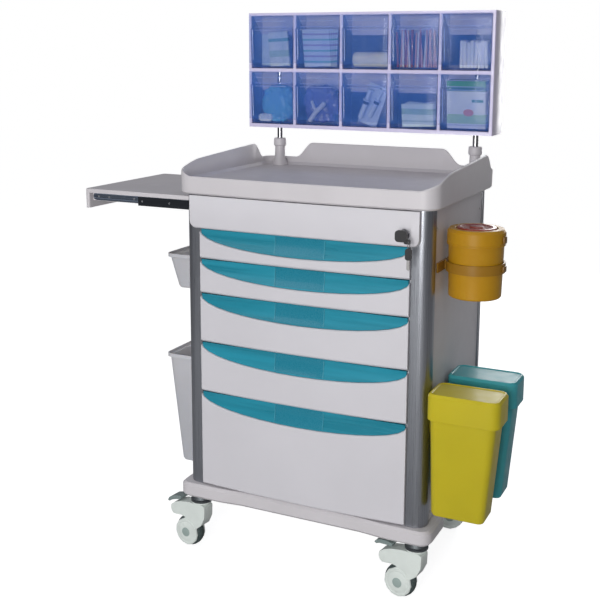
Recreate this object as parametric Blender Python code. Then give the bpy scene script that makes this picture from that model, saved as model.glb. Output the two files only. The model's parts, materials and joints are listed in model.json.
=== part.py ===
"""Hospital medicine trolley: moulded base on four swivel castors, five drawers between aluminium corner
posts, a railed worktop, a pull-out side shelf, tubs on the left, a sharps container and two waste bins on
the right, and a ten-bin tilt organiser on two rods. Metres, +Z up, front faces -Y, floor at z = 0."""

import math

import bmesh
import bpy
from mathutils import Matrix, Vector

# ---------------------------------------------------------------- driving dimensions
CAB_X, CAB_Y = 0.297, 0.210          # half width and half depth over the corner posts
POST_X, POST_Y, POST_R = 0.0425, 0.034, 0.026
BASE_Z0, BASE_Z1 = 0.1458, 0.1800
BODY_Z0, BODY_Z1 = 0.1804, 0.8786    # posts and panels between base and worktop
FRONT_X = 0.2535                     # half width of a drawer front, 1 mm clear of the posts
BAND_TOPS = (0.8005, 0.7300, 0.6490, 0.5330, 0.4130, 0.1812)  # top line of each drawer, then the foot
SMILE, SMILE_POWER = 0.0445, 0.42    # depth and fullness of the handle's curved lower edge
BOW = 0.0095                         # how far a drawer front bulges in the middle
TOP_X, TOP_Y0, TOP_Y1, TOP_R = 0.3115, -0.2245, 0.2320, 0.036
TOP_Z0, LIP_Z, TRAY_Z, GUARD_Z, NOTCH_Z = 0.8790, 0.9200, 0.9060, 0.9650, 0.9265
ROD_X, ROD_Y, ROD_R = 0.2640, 0.2120, 0.0070
ORG_X, ORG_Y0, ORG_Y1 = 0.3210, 0.1450, 0.2320
ORG_Z0, ORG_MID, ORG_Z1 = 1.0075, 1.1525, 1.2945
CASTOR_X, CASTOR_Y, TRAIL, WHEEL_R, WHEEL_W = 0.2750, 0.1880, 0.0370, 0.0375, 0.0220
LOCK_X, LOCK_Z, RING_X = 0.2450, 0.8290, 0.0165   # RING_X: the key ring's offset from the lock
GAP = 0.0004                         # clearance between pieces that only rest together


# ---------------------------------------------------------------- helpers
def clear_scene():
    for old in list(bpy.data.objects):
        bpy.data.objects.remove(old, do_unlink=True)


def plastic(name, colour, rough=0.4, metal=0.0, alpha=1.0):
    """A Principled material that one node uses."""
    mat = bpy.data.materials.new(name)
    mat.use_nodes = True
    shader = mat.node_tree.nodes["Principled BSDF"]
    shader.inputs["Base Color"].default_value = (*colour, 1.0)
    shader.inputs["Roughness"].default_value = rough
    shader.inputs["Metallic"].default_value = metal
    shader.inputs["Alpha"].default_value = alpha
    return mat


COLOURS = {
    "shell": ((0.62, 0.60, 0.62), 0.42, 0.0),
    "front": ((0.66, 0.65, 0.68), 0.38, 0.0),
    "teal": ((0.02, 0.28, 0.38), 0.32, 0.0),
    "aluminium": ((0.55, 0.56, 0.60), 0.30, 1.0),
    "chrome": ((0.75, 0.75, 0.76), 0.12, 1.0),
    "steel": ((0.35, 0.36, 0.38), 0.35, 1.0),
    "black": ((0.02, 0.02, 0.022), 0.45, 0.0),
    "lilac": ((0.60, 0.58, 0.80), 0.35, 0.0),
    "bin_blue": ((0.10, 0.18, 0.60), 0.20, 0.0),
    "amber": ((0.62, 0.36, 0.02), 0.35, 0.0),
    "yellow": ((0.62, 0.56, 0.04), 0.40, 0.0),
    "waste_teal": ((0.05, 0.38, 0.44), 0.40, 0.0),
    "tub": ((0.68, 0.67, 0.69), 0.45, 0.0),
    "castor": ((0.72, 0.78, 0.74), 0.40, 0.0),
    "tyre": ((0.16, 0.20, 0.20), 0.60, 0.0),
    "pedal": ((0.28, 0.34, 0.33), 0.50, 0.0),
}


def link(name, mesh, look):
    obj = bpy.data.objects.new(name, mesh)
    bpy.context.scene.collection.objects.link(obj)
    colour, rough, metal = COLOURS[look]
    mesh.materials.clear()
    mesh.materials.append(plastic("mat_" + name, colour, rough, metal, 0.55 if look == "bin_blue" else 1.0))
    return obj


def solid(name, verts, faces, look="shell"):
    """An object from points and faces, its normals turned outwards."""
    mesh = bpy.data.meshes.new(name)
    mesh.from_pydata([tuple(v) for v in verts], [], faces)
    shape = bmesh.new()
    shape.from_mesh(mesh)
    bmesh.ops.remove_doubles(shape, verts=shape.verts, dist=1e-6)
    bmesh.ops.recalc_face_normals(shape, faces=shape.faces)
    if shape.calc_volume(signed=True) < 0:
        bmesh.ops.reverse_faces(shape, faces=shape.faces)
    shape.to_mesh(mesh)
    shape.free()
    return link(name, mesh, look)


def loft(name, rings, look="shell", ring_closed=False):
    """Skins equal rings of points. The ends are capped, or joined when ring_closed."""
    count = len(rings[0])
    verts = [p for ring in rings for p in ring]
    faces = []
    spans = len(rings) if ring_closed else len(rings) - 1
    for i in range(spans):
        a, b = i * count, ((i + 1) % len(rings)) * count
        for j in range(count):
            k = (j + 1) % count
            faces.append((a + j, a + k, b + k, b + j))
    if not ring_closed:
        faces.append(tuple(range(count)))
        faces.append(tuple(range((len(rings) - 1) * count, len(rings) * count)))
    return solid(name, verts, faces, look)


def box(name, lo, hi, look="shell"):
    (x0, y0, z0), (x1, y1, z1) = lo, hi
    ring = [(x0, y0), (x1, y0), (x1, y1), (x0, y1)]
    return loft(name, [[(x, y, z) for x, y in ring] for z in (z0, z1)], look)


def rounded(x0, x1, y0, y1, r, steps=4):
    """Points of a rounded rectangle, anticlockwise from its front right corner."""
    r = max(r, 1e-5)
    points = []
    for cx, cy, start in ((x1 - r, y0 + r, -90), (x1 - r, y1 - r, 0), (x0 + r, y1 - r, 90), (x0 + r, y0 + r, 180)):
        for i in range(steps + 1):
            a = math.radians(start + 90 * i / steps)
            points.append((cx + r * math.cos(a), cy + r * math.sin(a)))
    return points


def at(points, z):
    return [(x, y, z) for x, y in points]


def prism_x(name, outline, x0, x1, look="shell"):
    """An outline of (y, z) points pushed along X."""
    return loft(name, [[(x, y, z) for y, z in outline] for x in (x0, x1)], look)


def prism_y(name, outline, y0, y1, look="shell"):
    """An outline of (x, z) points pushed along Y."""
    return loft(name, [[(x, y, z) for x, z in outline] for y in (y0, y1)], look)


def turned(name, profile, centre, look="shell", axis="Z", steps=24):
    """A (radius, height) profile turned about an axis through centre. Its ends may sit on the axis."""
    rings = []
    for radius, height in profile:
        ring = []
        for i in range(steps):
            a = 2 * math.pi * i / steps
            u, v = max(radius, 1e-5) * math.cos(a), max(radius, 1e-5) * math.sin(a)
            p = {"Z": (u, v, height), "Y": (u, height, v), "X": (height, u, v)}[axis]
            ring.append(tuple(c + d for c, d in zip(centre, p)))
        rings.append(ring)
    return loft(name, rings, look)


def combine(target, other, operation):
    """Applies one exact Boolean and drops the helper."""
    step = target.modifiers.new(operation, "BOOLEAN")
    step.operation, step.solver, step.object = operation, "EXACT", other
    bpy.context.view_layer.update()
    graph = bpy.context.evaluated_depsgraph_get()
    made = bpy.data.meshes.new_from_object(target.evaluated_get(graph))
    look = target.data.materials[0]
    target.modifiers.remove(step)
    target.data = made
    made.materials.clear()
    made.materials.append(look)
    for face in made.polygons:
        face.material_index = 0
    bpy.data.objects.remove(other, do_unlink=True)
    return target


def cut(target, *others):
    for other in others:
        combine(target, other, "DIFFERENCE")
    return target


def join(target, *others):
    for other in others:
        combine(target, other, "UNION")
    return target


def copy_of(name, source, offset=(0, 0, 0), look=None):
    mesh = source.data.copy()
    mesh.transform(Matrix.Translation(Vector(offset)))
    return link(name, mesh, look) if look else link(name, mesh, "shell")


def soften(obj, width, angle=35.0, segments=2):
    """Rounds the hard edges."""
    bevel = obj.modifiers.new("edge", "BEVEL")
    bevel.width, bevel.segments = width, segments
    bevel.limit_method, bevel.angle_limit = "ANGLE", math.radians(angle)
    bevel.use_clamp_overlap = True
    return obj


def mirrored(points):
    return [(-x, y) for x, y in reversed(points)]


# ---------------------------------------------------------------- base and castors
def waisted(inset, z):
    """The base outline: corner bumpers stand out and the sides draw in between them."""
    x, y, r = CAB_X + 0.0176, CAB_Y + 0.0176, 0.026
    points = []
    edge_x = [-0.205, -0.178, -0.15, 0.15, 0.178, 0.205]
    edge_y = [-0.125, -0.10, -0.08, 0.08, 0.10, 0.125]

    def draw_in(t, start, end, depth):
        share = min(max((end - abs(t)) / (end - start), 0.0), 1.0)
        return depth * share * share * (3 - 2 * share)

    corners = ((x - r, -y + r, -90), (x - r, y - r, 0), (-x + r, y - r, 90), (-x + r, -y + r, 180))
    edges = (
        [(x - draw_in(t, 0.08, 0.125, 0.011) - inset, t) for t in edge_y],
        [(t, y - draw_in(t, 0.15, 0.205, 0.004) - inset) for t in reversed(edge_x)],
        [(-x + draw_in(t, 0.08, 0.125, 0.011) + inset, t) for t in reversed(edge_y)],
        [(t, -y + draw_in(t, 0.15, 0.205, 0.006) + inset) for t in edge_x],
    )
    for (cx, cy, start), edge in zip(corners, edges):
        for i in range(6):
            a = math.radians(start + 18 * i)
            points.append((cx + (r - inset) * math.cos(a), cy + (r - inset) * math.sin(a)))
        points.extend(edge)
    return at(points, z)


def make_base():
    base = loft("base_moulding", [
        waisted(0.0060, BASE_Z0), waisted(0.0, BASE_Z0 + 0.006), waisted(0.0, BASE_Z1 - 0.006),
        waisted(0.0060, BASE_Z1)])
    cut(base, box("c1", (-0.220, -0.200, BASE_Z0 - 0.01), (0.220, 0.200, BASE_Z1 - 0.006)),
        box("c2", (-0.285, -0.135, BASE_Z0 - 0.01), (0.285, 0.135, BASE_Z1 - 0.006)))
    for sx in (-1, 1):
        for sy in (-1, 1):
            cut(base, turned("c", [(0.0, -0.02), (0.0114, -0.02), (0.0114, 0.024), (0.0, 0.024)],
                             (sx * CASTOR_X, sy * CASTOR_Y, BASE_Z0), steps=24))
    return base


CASTORS = {  # corner: stem position signs, heading in degrees at rest, whether it has a brake pedal
    "fl": (-1, -1, -8.0, True), "fr": (1, -1, -8.0, True), "rl": (-1, 1, 14.0, False), "rr": (1, 1, 18.0, False)}


def make_castor(corner, sx, sy, heading, brake):
    """Stem at the local origin, wheel trailing towards -X, then all of it turned to its heading."""
    axle = Vector((-TRAIL, 0.0, WHEEL_R))
    hood = [(0.0200, 0.1130), (0.0120, 0.1175), (-0.0300, 0.1165), (-0.0560, 0.1120), (-0.0740, 0.1055),
            (-0.0850, 0.0970), (-0.0865, 0.0880), (-0.0835, 0.0800), (-0.0780, 0.0750), (-0.0690, 0.0750),
            (-0.0540, 0.0770), (-0.0400, 0.0745)]
    hood += [(axle.x + 0.0335 * math.cos(math.radians(a)), axle.z + 0.0335 * math.sin(math.radians(a)))
             for a in range(105, 386, 28)]
    hood += [(0.0090, 0.0640), (0.0190, 0.0850)]
    body = prism_y("castor_" + corner, hood, -0.0165, 0.0165, "castor")
    well = [(axle.x + 0.0400 * math.cos(math.radians(a)), axle.z + 0.0400 * math.sin(math.radians(a)))
            for a in range(0, 181, 20)]
    well += [(axle.x - 0.0400, -0.01), (axle.x - 0.0600, -0.01), (axle.x - 0.0600, -0.02),
             (axle.x + 0.0600, -0.02), (axle.x + 0.0600, -0.01), (axle.x + 0.0400, -0.01)]
    cut(body, prism_y("c", well, -0.0122, 0.0122))
    join(body, turned("c", [(0.0, -0.0140), (0.0045, -0.0140), (0.0045, 0.0140), (0.0, 0.0140)],
                      axle, axis="Y", steps=12))
    join(body, turned("c", [(0.0, 0.100), (0.0160, 0.100), (0.0160, 0.1195), (0.0240, 0.1205),
                            (0.0240, 0.1245), (0.0110, 0.1255), (0.0110, 0.1640), (0.0, 0.1640)],
                      (0, 0, 0), steps=16))
    half = WHEEL_W / 2
    wheel = turned("wheel_" + corner, [
        (0.0050, -half), (0.0330, -half), (WHEEL_R * 0.98, -half * 0.6), (WHEEL_R, -half * 0.2),
        (WHEEL_R, half * 0.2), (WHEEL_R * 0.98, half * 0.6), (0.0330, half), (0.0050, half)], (0, 0, 0), "tyre", "Y", 24)
    pieces = [body, wheel]
    # the wheel's bore makes it a ring
    cut(wheel, turned("c", [(0.0, -0.02), (0.0050, -0.02), (0.0050, 0.02), (0.0, 0.02)],
                      (0, 0, 0), axis="Y", steps=12))
    wheel.location = axle
    if brake:
        lift = 0.0 if corner == "fl" else 16.0
        outer = [(0.0, 0.0075), (-0.0150, 0.0065), (-0.0290, 0.0025), (-0.0390, -0.0045), (-0.0430, -0.0125)]
        inner = [(-0.0370, -0.0140), (-0.0305, -0.0090), (-0.0160, -0.0040), (0.0, -0.0005)]
        pedal = prism_y("brake_pedal_" + corner, outer + inner, -0.0150, 0.0150, "pedal")
        pedal.data.transform(Matrix.Rotation(math.radians(lift), 4, "Y"))
        pedal.location = (-0.0545, 0.0, 0.1165)
        pieces.append(pedal)
    turn = Matrix.Translation((sx * CASTOR_X, sy * CASTOR_Y, 0.0)) @ Matrix.Rotation(math.radians(heading), 4, "Z")
    for piece in pieces:
        piece.matrix_world = turn @ Matrix.Translation(piece.location)
    soften(body, 0.0014, 50, 1)
    if brake:
        soften(pieces[2], 0.0012, 50, 1)


# ---------------------------------------------------------------- cabinet
def make_posts():
    for corner, (sx, sy) in {"fl": (-1, -1), "fr": (1, -1), "rl": (-1, 1), "rr": (1, 1)}.items():
        def wall(d):
            """One ring of the hollow extrusion, drawn at the rear right and mirrored round."""
            x0, x1, y0, y1 = CAB_X - POST_X + d, CAB_X - d, CAB_Y - POST_Y + d, CAB_Y - d
            r = POST_R - d
            arc = [(x1 - r + r * math.cos(math.radians(a)), y1 - r + r * math.sin(math.radians(a)))
                   for a in range(0, 91, 10)]
            return [(sx * x, sy * y) for x, y in [(x0, y0), (x1, y0)] + arc + [(x0, y1)]]
        loft("post_" + corner, [at(wall(0.0), BODY_Z0), at(wall(0.0), BODY_Z1),
                                at(wall(0.0028), BODY_Z1), at(wall(0.0028), BODY_Z0)], "aluminium", True)


def make_panels():
    inner = CAB_Y - POST_Y - 0.0008
    for side, sx, top in (("left", -1, 0.8150), ("right", 1, BODY_Z1)):
        outline = rounded(-inner, inner, BODY_Z0, top, 0.004, 2)
        ribs = [[(sx * x, y, z) for y, z in outline] for x in (0.2870, 0.2935)]
        loft("side_panel_" + side, ribs, "shell")
    box("back_panel", (-CAB_X + POST_X + 0.0008, 0.2000, BODY_Z0), (CAB_X - POST_X - 0.0008, 0.2050, BODY_Z1))


def drawer_spans():
    return [(BAND_TOPS[i + 1] + 0.0018, BAND_TOPS[i]) for i in range(5)]


def make_runners():
    """A plate each side with one rail under each drawer's rim."""
    for side, sx in (("left", -1), ("right", 1)):
        xs = sorted((sx * 0.2470, sx * 0.2530))
        frame = box("runner_frame_" + side, (xs[0], -0.165, 0.1850), (xs[1], 0.195, 0.7960), "steel")
        for low, top in drawer_spans():
            rail = top - 0.0220
            xs = sorted((sx * 0.2330, sx * 0.2480))
            join(frame, box("c", (xs[0], -0.165, rail - 0.012), (xs[1], 0.195, rail), "steel"))


def smile_x(steps=16):
    return [math.sin(math.pi * (i / steps - 0.5)) for i in range(steps + 1)]


def smile_depth(share):
    """Depth of the pocket below the drawer's top, straight between the front's own sections."""
    def exact(s):
        return SMILE * max(1.0 - (s * 0.9985) ** 2, 0.0) ** SMILE_POWER
    marks = smile_x()
    for a, b in zip(marks, marks[1:]):
        if a <= share <= b:
            return exact(a) + (exact(b) - exact(a)) * (share - a) / (b - a)
    return exact(1.0)


def make_drawer(number, low, top):
    """Front with a bowed belly and a pocket for the handle, and the tray behind it."""
    back, step = -0.1990, -0.2040
    sections = []
    for share in smile_x():
        x = share * FRONT_X
        face = -0.2170 - BOW * (1 - share * share)
        edge = top - 0.0020 - smile_depth(share)
        sections.append([
            (x, back, low), (x, back, top - 0.0006), (x, step, top - 0.0006), (x, step, edge),
            (x, face + 0.0025, edge), (x, face, edge - 0.0025), (x, face, low + 0.0040), (x, face + 0.0040, low)])
    front = loft("drawer_%d" % number, sections, "front")
    z0, z1 = low + 0.0040, top - 0.0200
    wall, half, y0, y1 = 0.0028, 0.2290, -0.2010, 0.1850
    outer = rounded(-half, half, y0, y1, 0.008, 3)
    inner = rounded(-half + wall, half - wall, y0 + 0.0060, y1 - wall, 0.006, 3)
    rim = rounded(-half - 0.0125, half + 0.0125, y0, y1 + 0.006, 0.006, 3)
    small = rounded(-half + 0.002, half - 0.002, y0, y1 - 0.002, 0.008, 3)
    tray = loft("tray", [at(small, z0), at(outer, z0 + 0.004), at(outer, z1 - 0.0016), at(rim, z1 - 0.0016),
                         at(rim, z1 + 0.0004), at(inner, z1 + 0.0004), at(inner, z0 + wall)])
    join(front, tray)
    # the teal handle fills the pocket: near the front above, running out to the belly's rim below
    teal = []
    for share in [-0.9890] + smile_x()[1:-1] + [0.9890]:
        x = share * FRONT_X
        face = -0.2170 - BOW * (1 - share * share)
        foot = top - 0.0014 - smile_depth(share)
        head = top - 0.0006
        tall = head - foot
        head_y, foot_y = -0.2155, face + 0.0040
        ring = [(x, step - GAP, foot), (x, step - GAP, head)]
        ring += [(x, foot_y + (head_y - foot_y) * t + 0.0022 * math.sin(math.pi * t) * min(tall / 0.03, 1),
                  foot + tall * t) for t in (1.0, 0.67, 0.33, 0.0)]
        teal.append(ring)
    loft("drawer_handle_%d" % number, teal, "teal")


def make_fascia():
    """Fixed panel above the drawers. It laps the posts and its lower corners are rounded."""
    half, low, top, r = 0.2750, 0.8025, 0.8770, 0.014
    xs = [-half + r * (1 - math.cos(math.radians(a))) for a in range(0, 91, 18)]
    xs += [-0.235, -0.19, -0.14, -0.09, -0.045, 0.0]
    xs += [-x for x in reversed(xs[:-1])]
    sections = []
    for x in xs:
        over = abs(x) - (half - r)
        rise = r - math.sqrt(max(r * r - over * over, 0.0)) if over > 0 else 0.0
        face = -0.2240 - 0.0055 * (1 - (x / half) ** 2)
        sections.append([(x, -0.2104, low + rise), (x, -0.2104, top), (x, face + 0.001, top),
                         (x, face, top - 0.002), (x, face, low + rise + 0.003), (x, face + 0.003, low + rise)])
    fascia = loft("top_fascia", sections, "front")
    cut(fascia, turned("c", [(0.0, -0.24), (0.0098, -0.24), (0.0098, -0.20), (0.0, -0.20)],
                       (LOCK_X, 0.0, LOCK_Z), axis="Y", steps=24))


def make_lock():
    lock = turned("lock_body", [(0.0, -0.2106), (0.0094, -0.2106), (0.0094, -0.2299), (0.0125, -0.2299),
                                (0.0120, -0.2330), (0.0, -0.2330)], (LOCK_X, 0.0, LOCK_Z), "chrome", "Y", 20)
    cut(lock, turned("c", [(0.0, -0.2400), (0.0034, -0.2400), (0.0034, -0.2140), (0.0, -0.2140)],
                     (LOCK_X, 0.0, LOCK_Z), axis="Y", steps=12))
    key = prism_y("lock_key", rounded(-0.0125, 0.0125, -0.0120, 0.0120, 0.0070, 5), -0.2530, -0.2450, "black")
    join(key, turned("c", [(0.0, -0.2460), (0.0050, -0.2460), (0.0042, -0.2340), (0.0, -0.2340)],
                     (0, 0, 0), axis="Y", steps=12))
    join(key, box("c", (-0.0026, -0.2350, -0.0009), (0.0026, -0.2150, 0.0009)))
    join(key, prism_y("c", rounded(0.0060, RING_X + 0.0040, -0.0160, -0.0060, 0.0038, 4), -0.2502, -0.2478))
    cut(key, turned("c", [(0.0, -0.2600), (0.0017, -0.2600), (0.0017, -0.2400), (0.0, -0.2400)],
                    (RING_X, 0.0, -0.0120), axis="Y", steps=12))
    key.data.transform(Matrix.Translation((0.0, 0.2490, 0.0)))
    key.location = (LOCK_X, -0.2490, LOCK_Z)
    # spare key on a ring through the hole in the first key's tab
    hole = Vector((LOCK_X + RING_X, -0.2490, LOCK_Z - 0.0120))
    ring = []
    for i in range(20):
        a = 2 * math.pi * i / 20
        out = Vector((0.0, math.sin(a), math.cos(a)))
        ring.append([tuple(Vector((0, 0, -0.0065)) + out * (0.0065 + 0.0008 * math.cos(b))
                           + Vector((0.0008 * math.sin(b), 0, 0))) for b in
                     (math.radians(60 * k) for k in range(6))])
    spare = loft("spare_key", ring, "black", True)
    join(spare, prism_y("c", rounded(-0.0068, 0.0068, -0.0370, -0.0125, 0.0050, 4), -0.0022, 0.0022))
    join(spare, prism_y("c", [(-0.0032, -0.0360), (0.0032, -0.0360), (0.0032, -0.0560), (0.0010, -0.0590),
                              (-0.0032, -0.0560)], -0.0011, 0.0011))
    spare.location = hole


# ---------------------------------------------------------------- worktop
def guard_height(edge, t):
    """Height of the worktop's wall: low lip in front, rising sides, notches at the rear corners."""
    def ease(a, b, share):
        share = min(max(share, 0.0), 1.0)
        return a + (b - a) * share * share * (3 - 2 * share)
    if edge == "front":
        return LIP_Z
    if edge == "side":
        if t < -0.100:
            return LIP_Z + 0.0315 * math.sin(0.5 * math.pi * min((t + 0.240) / 0.140, 1.0))
        if t < 0.150:
            return 0.9515 + (GUARD_Z - 0.0015 - 0.9515) * (t + 0.100) / 0.250
        return ease(GUARD_Z - 0.0015, NOTCH_Z, (t - 0.150) / 0.046)
    return ease(GUARD_Z, NOTCH_Z, (abs(t) - 0.178) / 0.046)


def top_ring(inset, height):
    """One ring of the worktop. height is a number, or None for the top of the wall."""
    r = TOP_R - inset
    x, y0, y1 = TOP_X - TOP_R, TOP_Y0 + TOP_R, TOP_Y1 - TOP_R
    side = [-0.160, -0.130, -0.100, 0.020, 0.130, 0.150, 0.159, 0.168, 0.177, 0.186, 0.192]
    rear = [0.224, 0.217, 0.209, 0.201, 0.193, 0.185, 0.178, 0.060]
    rear += [-t for t in reversed(rear)]
    front = [-0.220, -0.160, -0.080, 0.0, 0.080, 0.160, 0.220]

    def bowed(px, py):
        return py - 0.0085 * max(1 - (px / x) ** 2, 0.0)

    points = []

    def add(px, py, edge, t):
        points.append((px, py, guard_height(edge, t) if height is None else height))

    for i in range(6):
        a = math.radians(-90 + 18 * i)
        add(x + r * math.cos(a), y0 + r * math.sin(a), "side", -0.240 + 0.052 * i / 5)
    for t in side:
        add(x + r, t, "side", t)
    for i in range(6):
        a = math.radians(18 * i)
        add(x + r * math.cos(a), y1 + r * math.sin(a), "rear", 0.30)
    for t in rear:
        add(t, y1 + r, "rear", t)
    for i in range(6):
        a = math.radians(90 + 18 * i)
        add(-x + r * math.cos(a), y1 + r * math.sin(a), "rear", 0.30)
    for t in reversed(side):
        add(-x - r, t, "side", t)
    for i in range(6):
        a = math.radians(180 + 18 * i)
        add(-x + r * math.cos(a), y0 + r * math.sin(a), "side", -0.188 - 0.052 * i / 5)
    for t in front:
        add(t, bowed(t, y0 - r), "front", t)
    return points


def make_worktop():
    rings = [top_ring(0.0050, TOP_Z0), top_ring(0.0006, TOP_Z0 + 0.0040)]
    rings.append([(x, y, z - 0.0025) for x, y, z in top_ring(0.0, None)])
    rings.append(top_ring(0.0018, None))
    rings.append(top_ring(0.0040, None))
    rings.append([(x, y, z - 0.0025) for x, y, z in top_ring(0.0056, None)])
    rings += [top_ring(0.0066, TRAY_Z + 0.0070), top_ring(0.0140, TRAY_Z)]
    top = loft("worktop", rings, "shell")
    cut(top, box("c", (-0.240, -0.190, TOP_Z0 - 0.01), (0.240, 0.190, TRAY_Z - 0.006)))
    for sx in (-1, 1):
        join(top, turned("c", [(0.0, TRAY_Z - 0.012), (0.0215, TRAY_Z - 0.012), (0.0200, TRAY_Z + 0.006),
                               (0.0140, TRAY_Z + 0.020), (0.0130, 0.9540), (0.0160, 0.9570),
                               (0.0165, 0.9610), (0.0162, 0.9730), (0.0150, 0.9755), (0.0, 0.9755)],
                         (sx * ROD_X, ROD_Y - 0.0012, 0.0), steps=20))
        cut(top, turned("c", [(0.0, 0.9300), (ROD_R + 0.0004, 0.9300), (ROD_R + 0.0004, 0.9900), (0.0, 0.9900)],
                        (sx * ROD_X, ROD_Y - 0.0012, 0.0), steps=16))


# ---------------------------------------------------------------- organiser
CELL_W = (2 * ORG_X - 2 * 0.0080 - 4 * 0.0070) / 5


def cell_left(column):
    return -ORG_X + 0.0080 + column * (CELL_W + 0.0070)


ROWS = {"lower": (ORG_Z0 + 0.0090, ORG_MID - 0.0045), "upper": (ORG_MID + 0.0045, ORG_Z1 - 0.0070)}


def make_organiser():
    frame = loft("organiser_frame", [at(rounded(-ORG_X, ORG_X, ORG_Y0, ORG_Y1, 0.0030, 2), z)
                                     for z in (ORG_Z0, ORG_Z1)], "lilac")
    for low, high in ROWS.values():
        for column in range(5):
            x0 = cell_left(column)
            cut(frame, box("c", (x0, ORG_Y0 - 0.01, low), (x0 + CELL_W, 0.2060, high)))
    cut(frame, box("c", (-ORG_X + 0.0050, 0.2090, ORG_Z0 + 0.0050), (ORG_X - 0.0050, ORG_Y1 + 0.01, ORG_Z1 - 0.0050)))
    # a shallow seam shows that the two rows are stacked units
    for sx in (-1, 1):
        xs = sorted((sx * (ORG_X - 0.0010), sx * (ORG_X + 0.0020)))
        cut(frame, box("c", (xs[0], ORG_Y0 - 0.01, ORG_MID - 0.0007), (xs[1], ORG_Y1 + 0.01, ORG_MID + 0.0007)))
        join(frame, box("c", (sx * ROD_X - 0.0115, 0.2080, ORG_Z0 + 0.0020), (sx * ROD_X + 0.0115, 0.2225, 1.2620)))
        cut(frame, turned("c", [(0.0, 0.9900), (ROD_R + 0.0004, 0.9900), (ROD_R + 0.0004, 1.2500), (0.0, 1.2500)],
                          (sx * ROD_X, ROD_Y - 0.0012, 0.0), steps=16))
        side = "left" if sx < 0 else "right"
        turned("organiser_rod_" + side, [(0.0, 0.9305), (ROD_R, 0.9305), (ROD_R, 1.2400), (0.0, 1.2400)],
               (sx * ROD_X, ROD_Y - 0.0012, 0.0), "chrome", steps=16)


def make_tilt_bins():
    """Scoop bins: clear front with a finger lip, low back, hinged at the lower front edge."""
    half = CELL_W / 2 - 0.0008
    pivot = Vector((0.1530, 0.0085))
    for row, (low, high) in ROWS.items():
        tall = high - low - 0.0020
        z = low + 0.0012 - (low + pivot.y)          # heights below are measured from the pivot
        t = z + tall

        def y(v):
            return v - pivot.x
        outer = [(y(0.1515), z), (y(0.1480), z + 0.0030), (y(0.1420), z + tall * 0.30),
                 (y(0.1390), z + tall * 0.66), (y(0.1375), z + tall * 0.715), (y(0.1375), z + tall * 0.745),
                 (y(0.1440), z + tall * 0.775), (y(0.1458), z + tall * 0.80), (y(0.1458), t),
                 (y(0.1520), t), (y(0.2020), z + tall * 0.62), (y(0.2020), z + 0.010), (y(0.1960), z + 0.0010),
                 (y(0.1900), z)]
        inner = [(y(0.1540), z + 0.0024), (y(0.1506), z + 0.0045), (y(0.1446), z + tall * 0.30),
                 (y(0.1416), z + tall * 0.66), (y(0.1404), z + tall * 0.72), (y(0.1404), z + tall * 0.735),
                 (y(0.1466), z + tall * 0.785), (y(0.1484), z + tall * 0.81), (y(0.1484), t + 0.02),
                 (y(0.1998), t + 0.02), (y(0.1998), z + 0.011), (y(0.1950), z + 0.0034), (y(0.1895), z + 0.0024)]
        master = prism_x("master", outer, -half, half, "bin_blue")
        cut(master, prism_x("c", inner, -half + 0.0018, half - 0.0018))
        for column in range(5):
            item = copy_of("tilt_bin_%s_%d" % (row, column + 1), master, look="bin_blue")
            item.location = (cell_left(column) + CELL_W / 2, pivot.x, low + pivot.y)
        bpy.data.objects.remove(master, do_unlink=True)


# ---------------------------------------------------------------- side equipment
SHELF_OUT, SHELF_Y = 0.6045, 0.1740


def make_shelf():
    """Pull-out shelf on the left, drawn out at rest."""
    plate = [at(rounded(-SHELF_OUT, -0.3060, -SHELF_Y, SHELF_Y, 0.006, 3), z) for z in (0.8562, 0.8660)]
    shelf = loft("side_shelf", plate, "shell")
    join(shelf, loft("c", [at(rounded(-SHELF_OUT, -SHELF_OUT + 0.011, -SHELF_Y, SHELF_Y, 0.004, 3), z)
                           for z in (0.8185, 0.8640)]))
    for name, sy in (("shelf_slide_front", -1), ("shelf_slide_rear", 1)):
        ys = sorted((sy * 0.1728, sy * 0.1655))
        join(shelf, box("c", (-0.5820, ys[0], 0.8385), (-0.3070, ys[1], 0.8580)))
        web = [(sy * 0.1756, 0.8340), (sy * 0.1640, 0.8340), (sy * 0.1640, 0.8375), (sy * 0.1735, 0.8375),
               (sy * 0.1735, 0.8556), (sy * 0.1756, 0.8556)]
        prism_x(name, web, -0.4490, -0.1550, "black")


def open_tub(name, look, levels, wall, floor):
    """A tapered open tub. levels are (x0, x1, y0, y1, r, z) from the foot to the rim."""
    rings = [at(rounded(x0, x1, y0, y1, r, 4), z) for x0, x1, y0, y1, r, z in levels]
    (x0, x1, y0, y1, r, z) = levels[-1]
    rings.append(at(rounded(x0 + wall, x1 - wall, y0 + wall, y1 - wall, r - wall, 4), z))
    low = levels[1]
    for x0, x1, y0, y1, r, z in [lv for lv in reversed(levels[1:-1])]:
        rings.append(at(rounded(x0 + wall, x1 - wall, y0 + wall, y1 - wall, r - wall, 4), z + floor))
    x0, x1, y0, y1, r, z = low
    rings.append(at(rounded(x0 + wall + 0.004, x1 - wall - 0.004, y0 + wall + 0.004, y1 - wall - 0.004,
                            max(r - wall - 0.004, 0.002), 4), levels[0][5] + floor))
    return loft(name, rings, look)


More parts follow.
